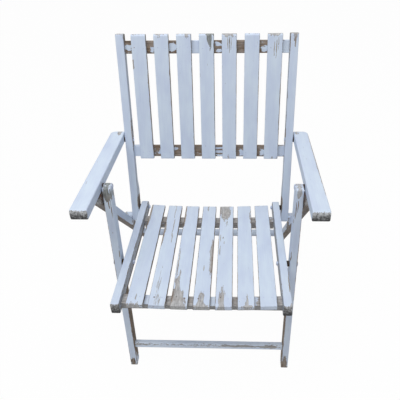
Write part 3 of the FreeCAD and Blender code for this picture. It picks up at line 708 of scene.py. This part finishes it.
@dataclass(frozen=True)
class Head:
    """The low domed head of a nail or a screw, closed underneath and a little into the wood."""

    radius_mm: float
    height_mm: float
    slotted: bool = False
    steps: int = 16
    sunk_mm: float = 0.3
    sunk_share: float = 0.9
    # Each ring's share of the radius and of the height.
    rings: tuple[Pair, ...] = ((1.0, 0.2), (0.86, 0.7), (0.5, 1.0))
    slot_half_width: float = 0.22
    slot_depth: float = 0.6

    def add_to(self, mesh: bmesh.types.BMesh, at: Vector, normal: Vector) -> None:
        """Adds one head to a mesh.

        Args:
            mesh: The mesh that gets it.
            at: Where it sits.
            normal: The direction out of the face.
        """
        seat = Matrix.Translation(at) @ UP.rotation_difference(normal).to_matrix().to_4x4()
        radius = self.radius_mm * MM
        height = self.height_mm * MM
        levels = [(self.sunk_share, -self.sunk_mm * MM)]
        levels += [(share, part * height) for share, part in self.rings]
        rows = []
        for share, level in levels:
            row = []
            for step in range(self.steps):
                angle = math.tau * step / self.steps
                in_slot = abs(math.sin(angle)) * share < self.slot_half_width
                cut = self.slotted and level > 0.5 * height and in_slot
                drop = self.slot_depth * height if cut else 0.0
                point = Vector((share * radius * math.cos(angle), share * radius * math.sin(angle),
                                level - drop))
                row.append(mesh.verts.new(seat @ point))
            rows.append(row)
        for lower, upper in zip(rows, rows[1:]):
            for step in range(self.steps):
                after = (step + 1) % self.steps
                face = mesh.faces.new((lower[step], lower[after], upper[after], upper[step]))
                face.smooth = not self.slotted
        mesh.faces.new(rows[-1])
        mesh.faces.new(list(reversed(rows[0])))


@dataclass
class Joinery:
    """What every sub-assembly needs: the finishes, and how to put them on."""

    wood: PaintedBeech
    stained: PaintedBeech
    # A paler copy of the paint: painted light for the stretcher, which the seat shades.
    painted_light_copy: PaintedBeech
    zinc: WeatheredZinc
    rusty: WeatheredZinc
    steel: PaintedSteel
    dressed: int = 0
    seed_step: float = 1.7
    nail_spread_mm: float = 10.0
    # How far a nail may stray across and along its slat.
    nail_stray_mm: Pair = (2.0, 3.0)
    nail_start_mm: float = 60.0

    def paint(self, node: str, along: Vector, out: Vector, weather: Weathering,
              wood: PaintedBeech | None = None) -> None:
        """Puts the painted finish on a piece of the frame.

        Args:
            node: The piece's name.
            along: The direction of its grain.
            out: The direction out of its main face.
            weather: How far it has weathered.
            wood: Its finish, if that isn't the usual one.
        """
        self.dressed += 1
        grain = Grain.of_node(node, along, out)
        finish = wood or self.wood
        self.put_on(node, finish.make(node, grain, weather, seed=self.seed_step * self.dressed))

    def plate(self, node: str, finish: RustingSteel) -> None:
        """Puts a steel finish on a fitting of the frame."""
        self.dressed += 1
        self.put_on(node, finish.make(node))

    def put_on(self, node: str, material: Material) -> None:
        """Sets a material on every slot of a piece of the frame.

        Args:
            node: The piece's name.
            material: Its finish.
        """
        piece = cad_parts[node]
        for number in range(len(piece.data.materials)):
            piece.data.materials[number] = material
        if not piece.data.materials:
            piece.data.materials.append(material)
        LOG.info("dressed %s in %s", node, material.name)

    def nail_places(self, grain: Grain, rows_mm: Pair,
                    draw: random.Random) -> list[tuple[float, float, Vector]]:
        """Chooses where two nails go through a slat at each rail, a little astray as by hand.

        Args:
            grain: Where the slat lies.
            rows_mm: How far along it the rails are.
            draw: The random draws.

        Returns:
            For each nail its place along and across the slat, and a point over it.
        """
        stray_across, stray_along = self.nail_stray_mm
        places = []
        for row in rows_mm:
            for side in (-1, 1):
                across = side * self.nail_spread_mm + draw.uniform(-stray_across, stray_across)
                along = row + draw.uniform(-stray_along, stray_along)
                offset = along * grain.along + across * grain.across + self.nail_start_mm * grain.out
                places.append((along, across, grain.origin + offset * MM))
        return places

    def drive(self, name: str, body: str, spots: list[tuple[str, Vector, Vector]], head: Head,
              material: Material) -> None:
        """Drives a row of nails or screws, each with its head on the face that it meets.

        Args:
            name: The name of the new piece.
            body: The body that it rides on.
            spots: For each head, the piece it goes into, a point over it and the direction it is driven.
            head: The form of the heads.
            material: Their finish.
        """
        mesh = bmesh.new()
        for node, start, direction in spots:
            met, at, normal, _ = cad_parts[node].ray_cast(start, direction)
            if met:
                head.add_to(mesh, at, normal)
        data = bpy.data.meshes.new(name)
        mesh.to_mesh(data)
        mesh.free()
        data.materials.append(material)
        row = bpy.data.objects.new(name, data)
        bpy.context.scene.collection.objects.link(row)
        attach(row, body)
        LOG.info("drove %s: %d heads", name, len(spots))


@dataclass
class Seat:
    """The seat: two side rails, a cross rail at each end, and seven slats in a dish."""

    shop: Joinery
    fall_deg: float = 4.37
    nail_rows_mm: Pair = (28.5, 360.0)
    nail_seed: int = 4
    nail: Head = Head(2.0, 0.35)
    # A patch this strong and this wide bares the nails within this share of its reach.
    bare_strength: float = 0.7
    bare_reach_mm: float = 8.0
    bare_share: float = 0.9

    def slat_wear(self) -> list[Patches]:
        """Gives the worn places of each slat, from the left, measured from its front end."""
        crack = Loss.CRACK
        return [
            (Patch(0, -3, 15, 26, 0.4), Patch(22, 1, 14, 3, 0.95, crack), Patch(52, -21, 60, 3, 0.4),
             Patch(370, -20, 95, 6, 1.0)),
            (Patch(385, 3, 45, 1.7, 1.0), Patch(310, 5.5, 55, 1.8, 1.0), Patch(262, 7.5, 28, 1.6, 1.0),
             Patch(285, -20, 75, 6, 1.0), Patch(80, -4, 65, 7, 0.58, crack),
             Patch(18, 0, 25, 12, 0.7, crack)),
            (Patch(372, -20, 80, 5, 0.95), Patch(160, -17, 75, 2.0, 0.85), Patch(0, -5, 80, 23, 0.95),
             Patch(70, -12, 75, 9, 0.7), Patch(70, 13, 50, 5, -0.5), Patch(105, -8, 22, 2.2, 0.8)),
            (Patch(180, 17, 85, 8, 0.8), Patch(98, -21, 32, 3, 0.6), Patch(16, -2, 45, 10, 0.7),
             Patch(0, 0, 16, 26, 0.5), Patch(133, -1, 14, 2.2, 0.7), Patch(405, -4, 14, 4, 0.5)),
            (Patch(395, -4, 55, 20, 1.0), Patch(345, -2, 48, 12, 0.42), Patch(210, -15.5, 30, 1.8, 0.85),
             Patch(262, -15.5, 26, 1.6, 0.8), Patch(262, -8, 10, 2.4, 0.6), Patch(240, -5, 8, 2, 0.6),
             Patch(15, -6, 65, 9, 0.75), Patch(30, -4, 50, 9, 0.75, crack)),
            (Patch(360, 19, 42, 5, 0.6), Patch(14, 2, 32, 6, 0.65), Patch(0, 2, 10, 22, 0.35)),
            (Patch(0, 0, 12, 26, -0.1),),
        ]

    def dress(self) -> None:
        """Paints the slats, the side rails and the cross rails."""
        run, normal = tilted(self.fall_deg)
        for number, patches in enumerate(self.slat_wear(), start=1):
            # The slats' side faces and undersides are darkened by grime and painted shade.
            weather = Weathering(start=0.24, finish=0.3, end_reach=6.0, arris=0.2, grey=0.9,
                                 patches=patches,
                                 faces=((Face.LEFT, 0.7), (Face.RIGHT, 0.7), (Face.UNDER, 0.3)),
                                 grey_faces=((Face.LEFT, -1.0), (Face.RIGHT, -0.7)), grey_mm=6.0,
                                 grime_and_shade_faces=((Face.LEFT, 0.3), (Face.RIGHT, 0.3), (Face.UNDER, 0.6)))
            self.shop.paint(f"seat_slat_{number}", run, normal, weather)
        worn = {"left": (Patch(225, 9, 330, 4, 0.6, out=-16, reach_out=12),),
                "right": (Patch(225, -9, 330, 4, 0.6, out=-16, reach_out=12),
                          Patch(75, 9, 35, 1.8, 0.9, out=18, reach_out=5),
                          Patch(5, 8, 9, 4, 0.8, out=16, reach_out=8))}
        for side, inner in (("left", Face.RIGHT), ("right", Face.LEFT)):
            # The inner faces are darkened by grime and painted shade, deep between rail and slats.
            weather = Weathering(start=0.95, end_reach=6.0, grey=0.4, grey_ends=(0.9, 0.6), soak=1.0,
                                 soak_and_shade_lift=-0.02, faces=((inner, 0.3), (Face.UNDER, 0.4)),
                                 grime_and_shade_faces=((inner, 0.35),), patches=worn[side])
            self.shop.paint(f"seat_rail_{side}", run, normal, weather)
        kept = (Patch(-137, 0, 22, 40, -1.1), Patch(27, 0, 20, 40, -1.0), Patch(128, 0, 12, 40, -0.7))
        # The front faces of both cross rails are darkened by grime and painted shade.
        front = Weathering(base=0.85, grey=0.75, flake_length=30.0, flake_width=14.0, datum=Datum.MIDDLE,
                           faces=((Face.RIGHT, 0.9),), grey_faces=((Face.RIGHT, 0.8),),
                           grime_and_shade_faces=((Face.RIGHT, 0.3),), patches=kept)
        rear = Weathering(base=0.72, grey=0.75, flake_length=14.0, flake_width=9.0,
                          grime_and_shade_faces=((Face.RIGHT, 0.25),))
        self.shop.paint("seat_front_rail", ACROSS_CHAIR, normal, front)
        self.shop.paint("seat_rear_rail", ACROSS_CHAIR, normal, rear)

    def drive_nails(self) -> None:
        """Drives two nails through each slat into each cross rail; where the slat is bare they rust."""
        run, normal = tilted(self.fall_deg)
        draw = random.Random(self.nail_seed)
        spots: dict[bool, list[tuple[str, Vector, Vector]]] = {True: [], False: []}
        for number, patches in enumerate(self.slat_wear(), start=1):
            node = f"seat_slat_{number}"
            grain = Grain.of_node(node, run, normal)
            for along, across, over in self.shop.nail_places(grain, self.nail_rows_mm, draw):
                bare = any(self.bares(patch, along, across) for patch in patches)
                spots[bare].append((node, over, -normal))
        rusting = self.shop.zinc.make("seat_nails")
        painted = self.shop.steel.make("seat")
        self.shop.drive("seat_nails_bare", "seat", spots[True], self.nail, rusting)
        self.shop.drive("seat_nails", "seat", spots[False], self.nail, painted)

    def bares(self, patch: Patch, along: float, across: float) -> bool:
        """Tells whether a place on a slat lies in a large patch with no paint."""
        large = patch.strength >= self.bare_strength and patch.reach_across >= self.bare_reach_mm
        return large and patch.distance(along, across) < self.bare_share


@dataclass
class Back:
    """The back: two stiles, two rails and seven slats, with the stop pegs at the stiles' feet."""

    shop: Joinery
    lean_deg: float = 15.36
    slats: int = 7
    greyed_slat: int = 4
    nail_rows_mm: Pair = (21.5, 320.5)
    nail_seed: int = 9
    nail: Head = Head(1.9, 0.3)

    def slat_wear(self) -> list[Patches]:
        """Gives the worn places of each slat, from the left, measured from its lower end."""
        crack = Loss.CRACK
        return [
            (Patch(275, -20, 22, 5, 0.75),),
            (Patch(354, -7, 10, 11, 0.4),),
            (Patch(351, 10, 12, 9, 0.5),),
            (Patch(343, 9, 17, 9, 0.8), Patch(329, 10, 22, 5, 0.6), Patch(353, 8, 8, 16, 0.4)),
            (Patch(353, 0, 9, 22, 0.6), Patch(330, -4, 22, 1.3, 0.9), Patch(326, 0.5, 26, 1.4, 0.9),
             Patch(330, 4.8, 20, 1.2, 0.8), Patch(4, -2, 12, 4, 0.6), Patch(8, -3, 16, 5, 0.5, crack)),
            (),
            (Patch(353, 0, 8, 22, 0.6), Patch(322, -2, 30, 1.3, 0.8), Patch(316, 4, 34, 1.4, 0.8),
             Patch(326, 9, 24, 1.2, 0.7), Patch(185, 20, 70, 3, 0.8), Patch(2, 8, 8, 14, 0.45)),
        ]

    def dress(self) -> None:
        """Paints the slats, the stiles, the rails and the pegs."""
        rise, front = leaning(self.lean_deg)
        for number, patches in enumerate(self.slat_wear(), start=1):
            grey = 1.0 if number == self.greyed_slat else 0.4
            edge = Patch(160, 20.5, 190, 2.4, 0.42)
            # Their right side faces are darkened by grime and painted shade.
            weather = Weathering(start=0.2, finish=0.45, end_reach=4.0, arris=0.14, grey=grey,
                                 grey_ends=(0.6, 0.9), faces=((Face.RIGHT, 0.45),),
                                 grime_and_shade_faces=((Face.RIGHT, 0.3),), patches=patches + (edge,))
            self.shop.paint(f"back_slat_{number}", rise, front, weather,
                            self.shop.stained if number == self.greyed_slat else None)
        self.dress_stiles(rise, front)
        self.dress_rails(front)
        for side in ("left", "right"):
            self.shop.paint(f"stop_peg_{side}", ACROSS_CHAIR, front, Weathering(base=0.35, grey=0.3))

    def dress_stiles(self, rise: Vector, front: Vector) -> None:
        """Paints the stiles, rubbed bare where the seat rails pass them.

        Args:
            rise: The direction up the back.
            front: The direction out of its front.
        """
        for side, inner, edge in (("left", Face.RIGHT, 11.0), ("right", Face.LEFT, -11.0)):
            rubbed = (Patch(-505, edge, 30, 3, 0.9), Patch(-20, edge, 50, 2, 0.45),
                      Patch(-280, edge, 60, 1.6, 0.4))
            if side == "right":
                rubbed += (Patch(-8, 2, 16, 9, 0.55), Patch(-28, 3, 16, 3, 0.5))
            # Their inner faces are darkened by grime and painted shade.
            weather = Weathering(start=0.3, finish=0.6, end_reach=5.0, arris=0.16, grey=0.25,
                                 datum=Datum.FINISH, faces=((inner, 0.12),), grime_and_shade_faces=((inner, 0.3),),
                                 patches=rubbed)
            self.shop.paint(f"stile_{side}", rise, front, weather)

    def dress_rails(self, front: Vector) -> None:
        """Paints the two rails, which are mostly bare, with a few islands of paint.

        Args:
            front: The direction out of the back's front.
        """
        top = (Patch(-217, 0, 10, 10, -0.75), Patch(-150, 6, 9, 9, -0.6), Patch(-95, 0, 15, 13, -0.8),
               Patch(-31, 0, 26, 34, -1.3), Patch(33, -7, 10, 7, -0.7), Patch(35, 10, 10, 6, -0.7),
               Patch(159, 5, 13, 10, -0.8), Patch(224, 2, 26, 34, -1.1))
        bottom = (Patch(-222, 0, 24, 34, -1.2), Patch(-146, 1, 9, 10, -0.7), Patch(-101, -8, 9, 7, -0.6),
                  Patch(31, 2, 20, 5, -0.8), Patch(31, -10, 20, 4, -0.7), Patch(31, 13, 20, 4, -0.7),
                  Patch(99, 4, 10, 13, -0.7), Patch(162, 3, 10, 13, -0.7), Patch(217, 0, 24, 28, -0.55))
        for name, kept in (("top", top), ("bottom", bottom)):
            weather = Weathering(base=0.78, grey=0.12, grey_ends=(0.0, 0.0), flake_length=16.0,
                                 flake_width=8.0, datum=Datum.MIDDLE, patches=kept)
            self.shop.paint(f"back_{name}_rail", ACROSS_CHAIR, front, weather)

    def drive_nails(self) -> None:
        """Drives two nails through each slat into each rail."""
        rise, front = leaning(self.lean_deg)
        draw = random.Random(self.nail_seed)
        spots = []
        for number in range(1, self.slats + 1):
            node = f"back_slat_{number}"
            grain = Grain.of_node(node, rise, front)
            places = self.shop.nail_places(grain, self.nail_rows_mm, draw)
            spots += [(node, over, -front) for _, _, over in places]
        self.shop.drive("back_nails", "back", spots, self.nail, self.shop.steel.make("back"))


@dataclass
class Arms:
    """The two armrests with the steel brackets that carry the rear legs."""

    shop: Joinery
    fall_deg: float = 5.0
    pivot_mm: Pair = (-126.19, 629.0)
    screw_offsets_mm: Pair = (-38.7, -11.7)
    screw_side_mm: float = 264.0
    screw_start_mm: float = 40.0
    screw: Head = Head(2.6, 1.1, slotted=True)

    def dress(self) -> None:
        """Paints the armrests and plates the brackets."""
        run, normal = tilted(self.fall_deg)
        left = (Patch(402, 7, 22, 11, 0.55), Patch(125, -13, 14, 2, 0.55))
        right = (Patch(400, -12, 14, 9, 0.5), Patch(240, 20, 230, 3.2, 0.8, out=13, reach_out=5))
        for side, patches, rear in (("left", left, 0.5), ("right", right, 0.85)):
            weather = Weathering(start=1.0, finish=rear, end_reach=5.5, arris=0.2, grey=0.8, soak=0.95,
                                 faces=((Face.UNDER, 0.4),), patches=patches)
            self.shop.paint(f"armrest_{side}", run, normal, weather)
            self.shop.plate(f"arm_bracket_{side}", self.shop.zinc)
            self.shop.plate(f"rear_leg_pin_{side}", self.shop.zinc)

    def drive_screws(self) -> None:
        """Drives the bracket screws up into the armrests."""
        run, normal = tilted(self.fall_deg)
        pivot = Vector((0.0, self.pivot_mm[0] * MM, self.pivot_mm[1] * MM))
        for side, sign in (("left", -1), ("right", 1)):
            spots = []
            for offset in self.screw_offsets_mm:
                under = pivot + (offset * run - self.screw_start_mm * normal) * MM
                under.x = sign * self.screw_side_mm * MM
                spots.append((f"arm_bracket_{side}", under, normal))
            name = f"bracket_screws_{side}"
            self.shop.drive(name, f"arm_{side}", spots, self.screw, self.shop.zinc.make(name))


@dataclass
class Legs:
    """The front legs with their stretcher, and the rear legs with their dowel."""

    shop: Joinery
    front_lean_deg: float = 8.9
    rear_slant_deg: float = 51.39

    def dress(self) -> None:
        """Paints both pairs of legs and what joins them."""
        rise, front = leaning(self.front_lean_deg)
        for side, edge, drip, foot in (("left", 10.5, 26.0, 26.0), ("right", -10.5, 15.0, 60.0)):
            worn = (Patch(-0.8 * drip, 0, drip, 0.5 * drip, 1.0), Patch(-52, edge * 0.15, 20, 1.8, 0.8),
                    Patch(-62, edge * 0.6, 34, 1.6, 0.8),
                    Patch(-210, -edge, 220, 2.4, 0.7, out=12, reach_out=6),
                    Patch(-205, edge * 0.8, 22, 1.8, 0.9, out=12, reach_out=6),
                    Patch(-450, edge, 210, 3.0, 1.0), Patch(-632, -2, 0.9 * foot, 10, 0.85),
                    Patch(-600, -10.5, 50, 3, 0.7, out=11, reach_out=8))
            weather = Weathering(start=0.5, finish=0.4, end_reach=7.0, arris=0.24, grey=0.2,
                                 grey_ends=(0.1, 0.9), grey_reach=50.0, datum=Datum.FINISH,
                                 faces=((Face.UNDER, 0.2),), patches=worn)
            self.shop.paint(f"front_leg_{side}", rise, front, weather,
                            self.shop.stained if side == "left" else None)
        rubbed = (Patch(225, -5, 300, 7, 0.42, out=6, reach_out=7),
                  Patch(30, -4, 50, 8, 0.4, out=5, reach_out=9),
                  Patch(345, -3, 80, 6, 0.45, out=7, reach_out=7),
                  Patch(432, -3, 40, 10, 0.7, out=6, reach_out=10))
        stretcher = Weathering(arris=0.0, grey=0.85, flake_length=14.0, flake_width=2.6, patches=rubbed)
        # Its paler paint is painted light, standing in for light that the seat keeps off it.
        self.shop.paint("front_stretcher", ACROSS_CHAIR, front, stretcher, self.shop.painted_light_copy)
        run, normal = tilted(self.rear_slant_deg)
        for side in ("left", "right"):
            # Their undersides are darkened by grime and painted shade.
            weather = Weathering(base=0.08, finish=0.6, grey=0.35, faces=((Face.UNDER, 1.0),),
                                 grime_and_shade_faces=((Face.UNDER, 0.25),),
                                 patches=(Patch(375, 0, 60, 18, 0.75), Patch(20, 0, 50, 18, 0.8)))
            self.shop.paint(f"rear_leg_{side}", run, normal, weather)
        # The dowel's lower side is darker: painted shade, as the light falls from above.
        dowel = Weathering(base=-0.1, arris=0.0, grey=0.5, grime_and_shade_faces=((Face.UNDER, 0.7),), grime_and_shade_mm=13.0)
        self.shop.paint("rear_stretcher", ACROSS_CHAIR, UP, dowel)

    def paint_fittings(self) -> None:
        """Finishes the four pivots: bolts and nuts that were painted over, and rusted washers."""
        for pivot in ("seat_pivot", "back_pivot", "arm_front", "arm_rear"):
            self.shop.plate(f"{pivot}_washers", self.shop.rusty)
            for kind in ("bolts", "nuts"):
                node = f"{pivot}_{kind}"
                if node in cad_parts:
                    self.shop.plate(node, self.shop.steel)


@dataclass
class Studio:
    """A plain pale floor, soft light from above and in front, and the camera."""

    lens_mm: float = 39.6
    sensor_mm: float = 36.0
    shift: Pair = (-0.0482, 0.00165)
    place_m: Triple = (0.08246, -0.99875, 1.29747)
    yaw: float = -0.0481415
    pitch: float = 0.6845914
    roll: float = 0.024
    world_strength: float = 0.34
    lamp_watts: float = 55.5
    lamp_size_m: float = 2.6
    lamp_place_m: Triple = (-0.3, -0.6, 3.0)
    lamp_aim_m: Triple = (0.0, 0.0, 0.45)
    floor_size_m: float = 14.0
    floor_colour: str = "#F0F0F0"
    # How much of the eye's view of the floor is plain white; the rest keeps the shadow.
    floor_white: float = 0.975

    def set_camera(self) -> None:
        """Puts the camera where the photograph was taken from."""
        forward = Vector((math.sin(self.yaw) * math.cos(self.pitch),
                          math.cos(self.yaw) * math.cos(self.pitch), -math.sin(self.pitch)))
        right = Vector((math.cos(self.yaw), -math.sin(self.yaw), 0.0))
        down = forward.cross(right)
        turned_right = math.cos(self.roll) * right + math.sin(self.roll) * down
        turned_down = -math.sin(self.roll) * right + math.cos(self.roll) * down
        turn = Matrix((turned_right, -turned_down, -forward)).transposed().to_4x4()
        data = bpy.data.cameras.new("camera")
        data.lens = self.lens_mm
        data.sensor_width = self.sensor_mm
        data.sensor_fit = "HORIZONTAL"
        data.shift_x, data.shift_y = self.shift
        data.clip_start = 0.01
        camera = bpy.data.objects.new("camera", data)
        camera.matrix_world = Matrix.Translation(Vector(self.place_m)) @ turn
        bpy.context.scene.collection.objects.link(camera)
        bpy.context.scene.camera = camera

    def seen(self, tree: NodeTree) -> NodeSocket:
        """Tells what the eye sees, straight, in mirrors and through glass, from what only gives light.

        Args:
            tree: The nodes of the floor or the world.

        Returns:
            1 for what the eye sees, 0 for the rest.
        """
        path = add_node(tree, "LightPath").node.outputs
        seen = path["Is Camera Ray"]
        for name in ("Is Glossy Ray", "Is Transmission Ray"):
            seen = add_node(tree, "Math", (seen, path[name]), operation="MAXIMUM")
        return seen

    def lay_floor(self) -> None:
        """Lays the floor, which the eye sees as white with a faint shadow."""
        half = self.floor_size_m / 2.0
        data = bpy.data.meshes.new("studio_floor")
        corners = [(-half, -half, 0.0), (half, -half, 0.0), (half, half, 0.0), (-half, half, 0.0)]
        data.from_pydata(corners, [], [(0, 1, 2, 3)])
        material = bpy.data.materials.new("matt_white_floor")
        tree = blank_nodes(material)
        share = add_node(tree, "Math", (self.seen(tree), self.floor_white), operation="MULTIPLY")
        lit = add_node(tree, "BsdfDiffuse", {"Color": linear(self.floor_colour)})
        white = add_node(tree, "Emission", {"Color": WHITE, "Strength": 1.0})
        shown = add_node(tree, "MixShader", (share, lit, white))
        add_node(tree, "OutputMaterial", {"Surface": shown})
        data.materials.append(material)
        floor = bpy.data.objects.new("studio_floor", data)
        bpy.context.scene.collection.objects.link(floor)

    def light(self) -> None:
        """Lights the chair softly, from all round and from a large lamp above its front."""
        world = bpy.data.worlds.new("soft_white_studio")
        tree = blank_nodes(world)
        soft, white = (add_node(tree, "Background", {"Color": WHITE, "Strength": strength})
                       for strength in (self.world_strength, 1.0))
        mixed = add_node(tree, "MixShader", (self.seen(tree), soft, white))
        add_node(tree, "OutputWorld", {"Surface": mixed})
        bpy.context.scene.world = world
        lamp_data = bpy.data.lights.new("softbox", "AREA")
        lamp_data.energy = self.lamp_watts
        lamp_data.shape = "DISK"
        lamp_data.size = self.lamp_size_m
        lamp = bpy.data.objects.new("softbox", lamp_data)
        place = Vector(self.lamp_place_m)
        aim = Vector(self.lamp_aim_m) - place
        lamp.matrix_world = Matrix.Translation(place) @ aim.to_track_quat("-Z", "Y").to_matrix().to_4x4()
        bpy.context.scene.collection.objects.link(lamp)

    def set_up(self) -> None:
        """Lays the floor, lights it and sets the camera and the view transform."""
        self.lay_floor()
        self.light()
        self.set_camera()
        bpy.context.scene.view_settings.view_transform = "Standard"


def main() -> None:
    """Builds the studio and dresses each sub-assembly in turn."""
    logging.basicConfig(level=logging.INFO, format="%(name)s: %(message)s")
    Studio().set_up()
    rusty = WeatheredZinc(coat=("#3A3633", "#5E5A56"), rust="#3B2A20", rust_edge=(0.32, 0.42))
    stained = PaintedBeech(silver=("#5F6363", "#868A8A", "#A6AAAA"))
    # A paler paint for the stretcher: painted light, standing in for light that the seat keeps off it.
    painted_light_copy = PaintedBeech(paint_high="#E0ECFA", paint_low="#D3DFF4")
    shop = Joinery(PaintedBeech(), stained, painted_light_copy, WeatheredZinc(), rusty, PaintedSteel())
    seat = Seat(shop)
    seat.dress()
    seat.drive_nails()
    back = Back(shop)
    back.dress()
    back.drive_nails()
    arms = Arms(shop)
    arms.dress()
    arms.drive_screws()
    legs = Legs(shop)
    legs.dress()
    legs.paint_fittings()
    LOG.info("dressed %d pieces of the frame", shop.dressed)


if __name__ == "__main__":
    main()
